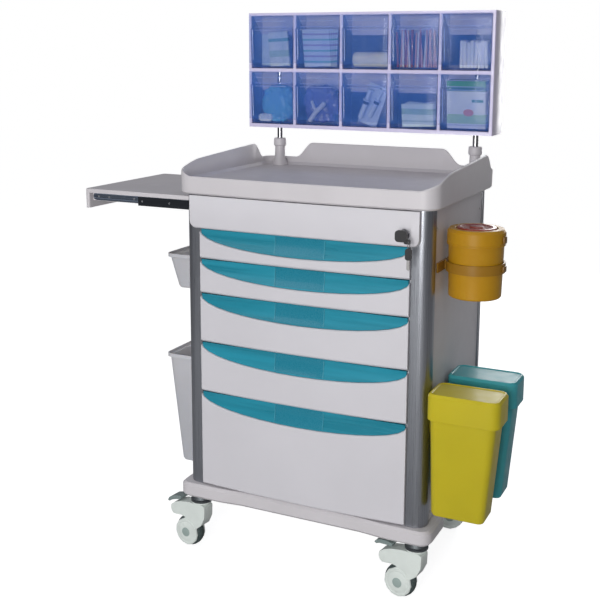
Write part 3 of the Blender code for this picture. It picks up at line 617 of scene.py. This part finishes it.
def make_label_holders():
    """A card window in the middle of each handle, between two clip rails."""
    half = 0.0590
    card = Tree("label_card", (0.012, 0.205, 0.315), Coat_Weight=0.25, Coat_Roughness=0.06,
                Specular_IOR_Level=0.3)
    weave = card.noise(420.0, 3.0)
    card.to("Base Color", card.fade(weave, 0.3, 0.7, (0.012, 0.200, 0.290), (0.013, 0.212, 0.305)))
    card.to("Roughness", card.map(weave, 0.22, 0.34, 0.3, 0.7))
    card.bump(weave, 0.00002, 0.5)
    rail = plastic("label_rail", (0.060, 0.330, 0.430), 0.25, mottle=0.05, Coat_Weight=0.4)
    for number in DRAWERS:
        surface = surface_of("drawer_handle_%d" % number)
        low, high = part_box("drawer_handle_%d" % number)
        zs = spread(low.z + 0.0036, high.z - 0.0016, 9)
        shape = laid_patch(surface, spread(-half, half, 13), zs, 0.0001, 0.0005)
        piece("label_card_%d" % number, shape, card.material, "drawer_%d" % number)
        rails = [laid_patch(surface, spread(x - 0.0007, x + 0.0007, 3), zs, 0.0001, 0.0013)
                 for x in (-half - 0.0009, half + 0.0009)]
        piece("label_rails_%d" % number, merged(*rails), rail.material, "drawer_%d" % number)


# ---------------------------------------------------------------- side shelf
def make_shelf_rails():
    """The pressed steel member that each black slide runs on, with its two ball races."""
    steel = brushed("shelf_rail_steel", (0.20, 0.24, 0.31), 0.26, (6.0, 600.0, 600.0))
    rivet = brushed("rivet_steel", (0.60, 0.61, 0.63), 0.25, (300.0, 300.0, 300.0))
    x0, x1, half = -0.5815, -0.3100, 0.0090
    for side, sy in (("front", -1), ("rear", 1)):
        shape = bmesh.new()
        rings = []
        xs = [x0 + half * (1 - math.cos(math.radians(a))) for a in range(9, 91, 9)]
        for x in xs + spread(xs[-1] + 0.01, x1, 8):
            reach = max(half - (x - x0), 0.0)
            tall = math.sqrt(half * half - reach * reach)
            outer = []
            for t in spread(-1.0, 1.0, 15):
                race = math.exp(-((abs(t) - 0.62) / 0.17) ** 2)
                outer.append((x, sy * (SLIDE_Y + 0.00035 * race), SLIDE_Z + t * tall))
            inner = [(x, sy * 0.17282, z) for _, _, z in reversed(outer)]
            rings.append(outer + inner)
        skin(shape, rings)
        piece("shelf_rail_%s" % side, shape, steel, "side_shelf")
        heads = []
        for x in (-0.5660, -0.5350, -0.4620):
            head = turned([(0.0024, 0.0), (0.0024, 0.00012), (0.0016, 0.00024)], 16)
            heads.append((head, placed((x, sy * 0.17290, SLIDE_Z), facing((0.0, sy, 0.0)))))
        piece("shelf_rail_rivets_%s" % side, merged(*heads), rivet, "side_shelf")
        low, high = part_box("shelf_slide_%s" % side)
        heads = []
        for share in (0.04, 0.30, 0.56, 0.82):
            head = turned([(0.0022, 0.0), (0.0022, 0.00010), (0.0014, 0.00018)], 16)
            x = low.x + (high.x - low.x) * share
            face = low.y if sy < 0 else high.y
            heads.append((head, placed((x, face, (low.z + high.z) / 2), facing((0.0, sy, 0.0)))))
        piece("slide_rivets_%s" % side, merged(*heads), rivet, "shelf_slide_%s" % side)


# ---------------------------------------------------------------- sharps container
def make_sharps_details():
    low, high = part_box("sharps_lid")
    centre = Vector(((low.x + high.x) / 2, (low.y + high.y) / 2, 0.0))
    red = plastic("red_cap", (0.270, 0.030, 0.012), 0.34, mottle=0.10, wear=0.3, Coat_Weight=0.3).material
    brown = plastic("clip_brown", (0.210, 0.105, 0.018), 0.35, mottle=0.08, wear=0.4).material
    top, seat = high.z, high.z - 0.0113
    profile = [(0.0424, seat), (0.0424, top - 0.0006), (0.0412, top + 0.0016), (0.0350, top + 0.0022),
               (0.0335, top + 0.0012), (0.0150, top + 0.0010), (0.0140, top + 0.0026), (0.0060, top + 0.0030)]
    piece("sharps_red_cap", turned(profile, 48), red, "sharps_lid", placed(centre))
    out = Vector((math.cos(math.radians(-8.0)), math.sin(math.radians(-8.0)), 0.0))
    for name, body, radius, z, tall in (("sharps_lid_clip", "sharps_lid", LID_RADIUS, 0.8050, 0.0150),
                                        ("sharps_band_clip", "cabinet", BAND_RADIUS, 0.7440, 0.0130)):
        block = slab(0.0160, 0.0046, tall, 0.0016, 3, 1)
        spot = placed(centre + out * (radius + 0.0042) + Vector((0.0, 0.0, z)), turn_z(82.0))
        piece(name, block, brown, body, spot)
    amber = NODES["sharps_container"].material_slots[0].material
    rib = ring_bar(centre, LID_RADIUS, 0.8020, 0.0007)
    piece("sharps_lid_rib", rib, amber, "sharps_lid")


def ring_bar(centre, radius, z, thick):
    """A thin round ring about a vertical axis."""
    steps, sides = 56, 8
    shape = bmesh.new()
    rings = []
    for i in range(steps):
        a = 2 * math.pi * i / steps
        out = Vector((math.cos(a), math.sin(a), 0.0))
        ring = []
        for k in range(sides):
            b = 2 * math.pi * k / sides
            up = Vector((0.0, 0.0, z + thick * math.sin(b)))
            ring.append(centre + out * (radius + thick * math.cos(b)) + up)
        rings.append(ring)
    rings.append(rings[0])
    skin(shape, rings, caps=False)
    bmesh.ops.remove_doubles(shape, verts=shape.verts, dist=0.000001)
    return shape


# ---------------------------------------------------------------- castors
# (radius, height) profiles. Heights are above a disc's seat, and for the bearing above the floor.
DISC_PROFILE = [(0.0316, 0.0), (0.0312, 0.0010), (0.0296, 0.0016), (0.0262, 0.0017),
                (0.0252, 0.0011), (0.0240, 0.0017), (0.0160, 0.0021), (0.0120, 0.0021)]
CAP_PROFILE = [(0.0112, 0.0018), (0.0112, 0.0030), (0.0100, 0.0037), (0.0030, 0.0040)]
BEARING_PROFILE = [(0.0250, 0.1248), (0.0262, 0.1256), (0.0262, 0.1300),
                   (0.0235, 0.1318), (0.0215, 0.1400), (0.0190, 0.1452)]
DISC_OUT = 0.0164    # from the middle of the axle to where a disc starts


def make_castor_details():
    """Swivel bearing, and hub cap and moulded disc on both sides of each fork, at the wheel's heading."""
    nylon = NODES["castor_fl"].material_slots[0].material
    cap = plastic("hub_cap", (0.330, 0.410, 0.390), 0.38, mottle=0.06, wear=0.5).material
    swivel = brushed("swivel_steel", (0.140, 0.155, 0.165), 0.52, (60.0, 60.0, 900.0))
    for corner in CORNERS:
        joint = JOINTS["wheel_%s_roll" % corner]
        hub, axle = Vector(joint["pos_m"]), Vector(joint["axis"]).normalized()
        discs, caps = [], []
        for way in (-1, 1):
            spot = placed(hub + axle * way * DISC_OUT, facing(axle * way))
            discs.append((turned(DISC_PROFILE, 48), spot))
            caps.append((turned(CAP_PROFILE, 32), spot))
        stem = Vector(JOINTS["castor_%s_swivel" % corner]["pos_m"])
        piece("castor_bearing_%s" % corner, turned(BEARING_PROFILE, 40), swivel, "castor_%s" % corner,
              placed(Vector((stem.x, stem.y, 0.0))))
        piece("castor_discs_%s" % corner, merged(*discs), nylon, "castor_%s" % corner)
        piece("castor_caps_%s" % corner, merged(*caps), cap, "castor_%s" % corner)


# ---------------------------------------------------------------- fasteners
def domed_screw(radius):
    """A low domed head with a round recess."""
    profile = [(1.0, 0.0), (1.0, 0.18), (0.86, 0.38), (0.5, 0.50), (0.44, 0.34), (0.10, 0.26)]
    return turned([(radius * across, radius * up) for across, up in profile], 20)


def make_screws():
    plate = brushed("screw_zinc", (0.58, 0.59, 0.60), 0.28, (400.0, 400.0, 400.0))
    low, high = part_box("back_panel")
    heads = []
    for x in (low.x + 0.012, (low.x + high.x) / 2, high.x - 0.012):
        for z in spread(low.z + 0.030, high.z - 0.030, 4):
            if abs(x) > 0.1 or z in (low.z + 0.030, high.z - 0.030):
                heads.append((domed_screw(0.0040), placed((x, high.y, z), facing((0.0, 1.0, 0.0)))))
    piece("back_panel_screws", merged(*heads), plate, "cabinet")
    frame_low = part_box("organiser_frame")[0]
    heads = []
    for x in (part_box("organiser_rod_left"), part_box("organiser_rod_right")):
        middle = (x[0].x + x[1].x) / 2
        for z in (frame_low.z + 0.030, 1.1525, 1.2350):
            heads.append((domed_screw(0.0034), placed((middle, 0.2225, z), facing((0.0, 1.0, 0.0)))))
    piece("organiser_clamp_screws", merged(*heads), plate, "cabinet")
    heads = []
    for sx, node in ((-1, "side_panel_left"), (1, "side_panel_right")):
        low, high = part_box(node)
        face = low.x if sx < 0 else high.x
        for y in (-0.160, 0.160):
            for z in (low.z + 0.020, high.z - 0.045):
                heads.append((domed_screw(0.0032), placed((face, y, z), facing((sx, 0.0, 0.0)))))
    piece("side_panel_screws", merged(*heads), plate, "cabinet")


# ---------------------------------------------------------------- what the tilt bins hold
def paper(name, colour, fleck=0.06, rough=0.72):
    """Uncoated paper or gauze with a fibrous surface."""
    tree = Tree(name, colour, Subsurface_Weight=0.05)
    fibre = tree.noise(420.0, 6.0)
    tree.to("Base Color", tree.fade(fibre, 0.3, 0.7, shade(colour, 1 - fleck), shade(colour, 1 + fleck)))
    tree.to("Roughness", tree.map(fibre, rough - 0.08, rough + 0.08, 0.3, 0.7))
    tree.bump(fibre, 0.00015, 0.6)
    return tree


def printed(name, colour, bands, rough=0.5):
    """Paper with plain colour bands: each band is (axis, low, high, colour) in the piece's own metres."""
    tree = Tree(name, colour)
    fibre = tree.noise(380.0, 5.0)
    look = tree.fade(fibre, 0.3, 0.7, shade(colour, 0.94), shade(colour, 1.05))
    for letter, low, high, ink in bands:
        look = tree.mix(tree.band(tree.axis(letter), low, high), look, ink)
    tree.to("Base Color", look)
    tree.to("Roughness", tree.map(fibre, rough - 0.08, rough + 0.10, 0.3, 0.7))
    tree.bump(fibre, 0.00010, 0.5)
    return tree


def bin_floor(row, column):
    """A point on the floor of a tilt bin, against its clear front, and the bin's name."""
    name = "tilt_bin_%s_%d" % (row, column)
    low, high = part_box(name)
    return name, Vector(((low.x + high.x) / 2, low.y + FRONT_GAP, low.z + FLOOR_GAP))


def leaning(floor, x, y, turn=None):
    """A place on a bin's floor, beside and behind its middle, that leans forward."""
    return placed(floor + Vector((x, y, 0.0)), turn_x(LEAN) @ (turn or Matrix.Identity(4)))


def crumpled(shape, amount, scale, seed):
    """Pushes the points in and out by a folded noise."""
    away = Vector((seed, seed * 2.0, seed * 3.0))
    for vert in shape.verts:
        p = vert.co * scale + away
        fold = 1.0 - abs(noise.noise(p)) * 2.2
        fine = noise.noise(p * 2.7)
        vert.co += vert.normal * amount * (fold * 0.7 + fine * 0.5)
    return shape


def blob(width, depth, height, seed, amount=0.006, scale=60.0):
    """A crumpled soft bundle that stands on z = 0."""
    shape = bmesh.new()
    bmesh.ops.create_icosphere(shape, subdivisions=5, radius=0.5)
    for vert in shape.verts:
        for i, size in enumerate((width, depth, height)):
            share = vert.co[i] * 2.0
            vert.co[i] = math.copysign(abs(share) ** 0.72, share) * size / 2
        vert.co += Vector((0.0, depth / 2, height / 2))
    shape.normal_update()
    crumpled(shape, amount, scale, seed)
    for vert in shape.verts:
        vert.co.z = max(vert.co.z, 0.0002)
        vert.co.y = max(vert.co.y, -0.0010)
    return shape


def make_upper_contents():
    name, floor = bin_floor("upper", 1)
    look = printed("pouch_print", (0.62, 0.68, 0.66), [
        ("Z", 0.062, 0.070, (0.10, 0.34, 0.28)), ("Z", 0.024, 0.040, (0.34, 0.50, 0.44)),
        ("X", 0.012, 0.0135, (0.40, 0.55, 0.50))]).material
    back = paper("pouch_back", (0.50, 0.60, 0.70)).material
    spot = leaning(floor, 0.018, 0.0, turn_y(-3.0))
    pouch = crumpled(slab(0.056, 0.010, 0.086, 0.0030, 3, 14), 0.0008, 90.0, 3.1)
    piece("pouch_front", pouch, look, name, spot)
    spot = leaning(floor, -0.012, 0.014, turn_y(4.0))
    pouch = crumpled(slab(0.060, 0.008, 0.078, 0.0030, 3, 14), 0.0008, 80.0, 5.7)
    piece("pouch_rear", pouch, back, name, spot)

    name, floor = bin_floor("upper", 2)
    inks = [(0.12, 0.42, 0.46), (0.30, 0.26, 0.50)]
    bands = [("Z", 0.010 + 0.0135 * i, 0.0145 + 0.0135 * i, inks[i % 2]) for i in range(6)]
    look = printed("striped_wrap", (0.55, 0.62, 0.72), bands).material
    sheets = []
    for i in range(5):
        sheet = slab(0.074, 0.0030, 0.092, 0.0009, 2, 1)
        sheets.append((sheet, placed((0.002 * i - 0.003, 0.0036 * i, 0.0), turn_y(1.4 * i - 2.0))))
    piece("striped_packs", merged(*sheets), look, name, leaning(floor, 0.0, 0.0))

    name, floor = bin_floor("upper", 3)
    cream = paper("gauze_cream", (0.82, 0.78, 0.62), 0.12, 0.85)
    radius = 0.0185
    profile = [(0.004, -0.0460), (0.0165, -0.0466), (radius, -0.0446), (radius * 1.01, -0.020),
               (radius * 0.985, 0.0), (radius * 1.01, 0.022), (radius, 0.0446), (0.0165, 0.0466),
               (0.004, 0.0460)]
    roll = turned(profile, 48)
    for vert in roll.verts:
        vert.co.x *= 1.0 + 0.025 * math.sin(vert.co.z * 160.0)
    spot = placed(floor + Vector((0.009, radius + 0.001, radius)), turn_y(90.0))
    piece("gauze_roll", roll, cream.material, name, spot)
    tail = slab(0.090, 0.0010, 0.014, 0.0004, 1, 4)
    piece("gauze_tail", tail, cream.material, name,
          placed(floor + Vector((0.009, 0.0012, 0.012)), turn_x(-14.0)))

    name, floor = bin_floor("upper", 4)
    brown = plastic("ampoule_brown", (0.300, 0.050, 0.028), 0.18, mottle=0.25, Coat_Weight=0.6).material
    pink = plastic("swab_pink", (0.700, 0.380, 0.330), 0.30, mottle=0.12).material
    white = paper("swab_white", (0.80, 0.78, 0.80)).material
    draw = random.Random(41)
    sticks = {"ampoules": [], "swabs": [], "swab_tips": []}
    for i in range(17):
        x = -0.047 + 0.0060 * i
        lean, height = draw.uniform(-0.006, 0.006), draw.uniform(0.080, 0.094)
        y = draw.uniform(0.003, 0.012)
        kind = ("ampoules", "swabs", "swab_tips")[i % 3 if i < 12 else 1]
        shaft = [(x, y, 0.002), (x + lean * 0.5, y - 0.003, height * 0.5), (x + lean, y - 0.007, height)]
        sticks[kind].append(tube(shaft, 0.0030 if kind == "ampoules" else 0.0024))
    for kind, look in (("ampoules", brown), ("swabs", pink), ("swab_tips", white)):
        piece(kind, merged(*sticks[kind]), look, name, placed(floor + Vector((0.0, 0.003, 0.0))))

    name, floor = bin_floor("upper", 5)
    folds = []
    for i in range(8):
        fold = crumpled(slab(0.0080, 0.026, 0.064 - 0.002 * (i % 3), 0.0024, 3, 8), 0.0006, 120.0, 2.0 + i)
        spot = placed((-0.014 + 0.0086 * i, 0.001 * (i % 2), 0.0), turn_y(draw.uniform(-2.5, 2.5)))
        folds.append((fold, spot))
    look = paper("dressing_white", (0.84, 0.84, 0.85)).material
    piece("folded_dressing", merged(*folds), look, name, leaning(floor, 0.0, 0.0))


def make_bin_faces():
    """The clear face of each tilt bin stands proud of the frame and laps over its dividers. Pale bars on each
    face are painted highlights, standing in for the glints on the bins' lips and rounded corners.
    """
    clear = NODES["tilt_bin_upper_1"].material_slots[0].material
    glint_rib_look = plastic("clear_rib_painted_glint", (0.42, 0.52, 0.86), 0.15, mottle=0.08, Coat_Weight=0.6, Alpha=0.55).material
    for row in ROWS:
        for column in COLUMNS:
            name = "tilt_bin_%s_%d" % (row, column)
            low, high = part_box(name)
            middle, half = (low.x + high.x) / 2, (high.x - low.x) / 2 + 0.0027
            plate = slab(2 * half, FACE_THICK, high.z - low.z - 0.0100, 0.0005, 2, 8)
            spot = placed((middle, min(low.y, FACE_Y) - 0.0016, low.z + 0.0120))
            piece("bin_face_%s_%d" % (row, column), plate, clear, name, spot)
            # Painted highlight: three pale bars across the upper face and one upright bar near its left edge
            # stand in for the glints off the bin's lips and rounded corner.
            wide, y, tall = half * 0.70, min(low.y, FACE_Y) - 0.0018, high.z - low.z
            bars = [tube([(-wide, y, low.z + tall * share), (wide, y, low.z + tall * share)], 0.0007)
                    for share in (0.73, 0.79, 0.90)]
            upright = [(0.012 - half, y, low.z + 0.020), (0.010 - half, y, low.z + tall * 0.74)]
            bars.append(tube(upright, 0.0009))
            piece("bin_ribs_%s_%d" % (row, column), merged(*bars), glint_rib_look, name,
                  placed((middle, 0.0, 0.0)))


def make_lower_contents():
    name, floor = bin_floor("lower", 1)
    nitrile = plastic("nitrile_blue", (0.120, 0.430, 0.640), 0.38, mottle=0.16, grain=300.0).material
    shape = blob(0.084, 0.036, 0.088, 4.3, 0.0075, 52.0)
    piece("folded_gloves", shape, nitrile, name, leaning(floor, 0.008, 0.0035))
    cuff = blob(0.040, 0.010, 0.020, 9.1, 0.0020, 90.0)
    piece("glove_cuff", cuff, paper("cuff_white", (0.66, 0.70, 0.74)).material, name,
          placed(floor + Vector((-0.026, 0.0, 0.0))))

    name, floor = bin_floor("lower", 2)
    film = plastic("purple_film", (0.110, 0.100, 0.330), 0.25, mottle=0.25, Coat_Weight=0.4).material
    shape = blob(0.092, 0.026, 0.092, 7.7, 0.0065, 48.0)
    piece("film_bag", shape, film, name, leaning(floor, 0.0, 0.012))
    white = plastic("tube_white", (0.66, 0.66, 0.72), 0.30, mottle=0.05).material
    arms = [tube([(-0.030, 0.002, 0.006), (-0.014, 0.0, 0.026), (0.012, -0.001, 0.050)], 0.0062, 14),
            tube([(-0.024, 0.004, 0.054), (-0.018, 0.002, 0.040), (-0.010, 0.001, 0.030)], 0.0040, 12)]
    piece("airway_tube", merged(*arms), white, name, leaning(floor, 0.004, 0.004))

    name, floor = bin_floor("lower", 3)
    barrel = plastic("syringe_clear", (0.70, 0.78, 0.90), 0.16, mottle=0.06, Coat_Weight=0.6).material
    rubber = plastic("syringe_rubber", (0.015, 0.015, 0.020), 0.5, mottle=0.1).material
    wrap = plastic("syringe_wrap", (0.62, 0.70, 0.86), 0.3, mottle=0.12, Coat_Weight=0.4).material
    barrels, stoppers = [], []
    for i, (dx, dz) in enumerate(((-0.010, 0.0), (0.012, 0.002))):
        lean = turn_y(24.0 + 5.0 * i)
        body = turned([(0.0012, 0.0), (0.0012, 0.010), (0.0066, 0.013), (0.0066, 0.058),
                       (0.0100, 0.0585), (0.0100, 0.0605), (0.0042, 0.0615), (0.0042, 0.086),
                       (0.0085, 0.0865), (0.0085, 0.0890)], 20)
        spot = placed((dx - 0.012, 0.006 + 0.004 * i, 0.006 + dz), lean)
        barrels.append((body, spot))
        stopper = turned([(0.0070, 0.050), (0.0070, 0.0575)], 20)
        stoppers.append((stopper, spot))
    place = leaning(floor, 0.0, 0.003)
    piece("syringes", merged(*barrels), barrel, name, place)
    piece("syringe_stoppers", merged(*stoppers), rubber, name, place)
    sheet = crumpled(slab(0.050, 0.0030, 0.104, 0.0012, 2, 26), 0.0006, 60.0, 6.2)
    piece("syringe_wrap", sheet, wrap, name,
          leaning(floor, -0.004, 0.020, turn_y(20.0)))

    name, floor = bin_floor("lower", 4)
    layers = []
    for i in range(5):
        flat = slab(0.080 - 0.002 * i, 0.0050, 0.056 - 0.003 * (i % 2), 0.0020, 3, 10)
        layer = crumpled(flat, 0.0010, 100.0, 1.5 + i)
        layers.append((layer, placed((0.001 * (i % 3), 0.0050 * i, 0.0), turn_y(1.2 * (i - 2)))))
    look = printed("gauze_green", (0.72, 0.82, 0.78), [("Z", 0.030, 0.044, (0.36, 0.55, 0.46)),
                                                      ("Z", 0.012, 0.016, (0.46, 0.60, 0.56))], 0.75).material
    piece("gauze_swabs", merged(*layers), look, name, leaning(floor, 0.010, 0.0))

    name, floor = bin_floor("lower", 5)
    carton = printed("carton_print", (0.82, 0.84, 0.80), [
        ("Z", 0.0880, 0.1130, (0.020, 0.230, 0.150)), ("Z", 0.0000, 0.0100, (0.60, 0.62, 0.72)),
        ("Z", 0.0120, 0.0340, (0.44, 0.66, 0.34))]).material
    piece("carton", slab(0.094, 0.030, 0.112, 0.0012, 2, 1), carton, name,
          leaning(floor, 0.002, 0.0016))
    leaf = turned([(0.0001, 0.0), (0.0100, 0.0), (0.0100, 0.0003), (0.0001, 0.0003)], 24)
    bmesh.ops.transform(leaf, matrix=Matrix.Diagonal((1.25, 0.85, 1.0, 1.0)), verts=leaf.verts)
    orange = paper("carton_orange", (0.78, 0.26, 0.08)).material
    piece("carton_badge", leaf, orange, name,
          leaning(floor, 0.008, 0.0016) @ placed((0.0, -0.0001, 0.038), turn_x(90.0)))
    green = paper("carton_green", (0.030, 0.260, 0.160)).material
    piece("carton_stamp", slab(0.028, 0.0003, 0.0070, 0.0001, 1, 1), green, name,
          leaning(floor, 0.030, 0.0016) @ placed((0.0, -0.0003, 0.062)))


# ---------------------------------------------------------------- build
def main():
    make_camera()
    make_studio()
    dress_cad(make_finishes())
    make_label_holders()
    make_shelf_rails()
    make_sharps_details()
    make_castor_details()
    make_screws()
    make_upper_contents()
    make_lower_contents()
    make_bin_faces()


main()
